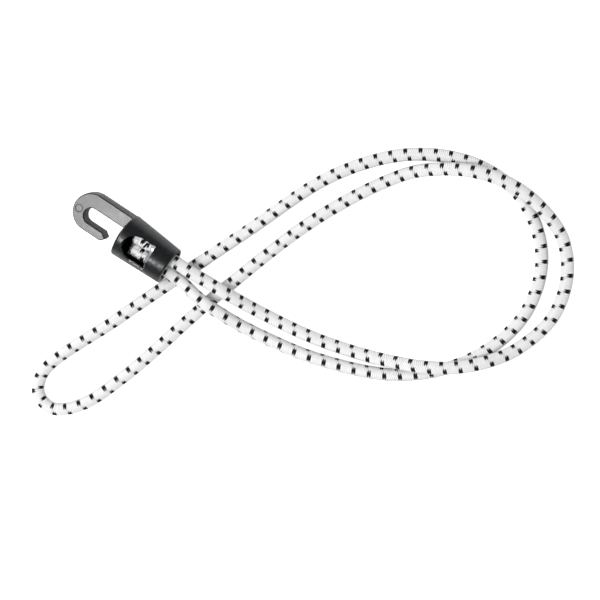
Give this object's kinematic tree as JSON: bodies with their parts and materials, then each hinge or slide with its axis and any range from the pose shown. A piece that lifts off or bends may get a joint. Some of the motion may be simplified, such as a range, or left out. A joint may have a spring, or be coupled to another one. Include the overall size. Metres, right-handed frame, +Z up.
{
  "type": "bungee cord with moulded hook",
  "caption": "Loop of braided elastic cord whose two ends are clipped together inside the windowed barrel of a moulded plastic hook, which turns on them.",
  "frame": {"origin": "under the middle of the hook, on the surface that the hook and the cord lie on", "axes": "+X along the hook's barrel from the hook's bend towards the mouth that the cord leaves by, +Y towards the shank's side, +Z up"},
  "size_m": [0.2094, 0.2054, 0.0208],
  "materials": {
    "hook_plastic": "black satin moulded plastic",
    "braid": "white polyester braid with black tracer marks",
    "core_rubber": "bare natural rubber",
    "clip_steel": "zinc plated steel strip"
  },
  "bodies": {
    "cord": {"cord_sheath": "braid", "cord_core": "core_rubber"},
    "hook": {"hook": "hook_plastic"},
    "cord_ends": {"end_a_sheath": "braid", "end_a_core": "core_rubber", "end_b_sheath": "braid", "end_b_core": "core_rubber", "clip": "clip_steel"}
  },
  "joints": [
    {"name": "hook_swivel", "type": "hinge", "parent": "cord", "child": "hook", "pos_m": [0.0129, -0.00039, 0.01035], "axis": [1, 0, 0], "continuous": true},
    {"name": "ends_slide", "type": "slide", "parent": "cord", "child": "cord_ends", "axis": [-1, 0, 0], "range_m": [0, 0.0027]}
  ]
}
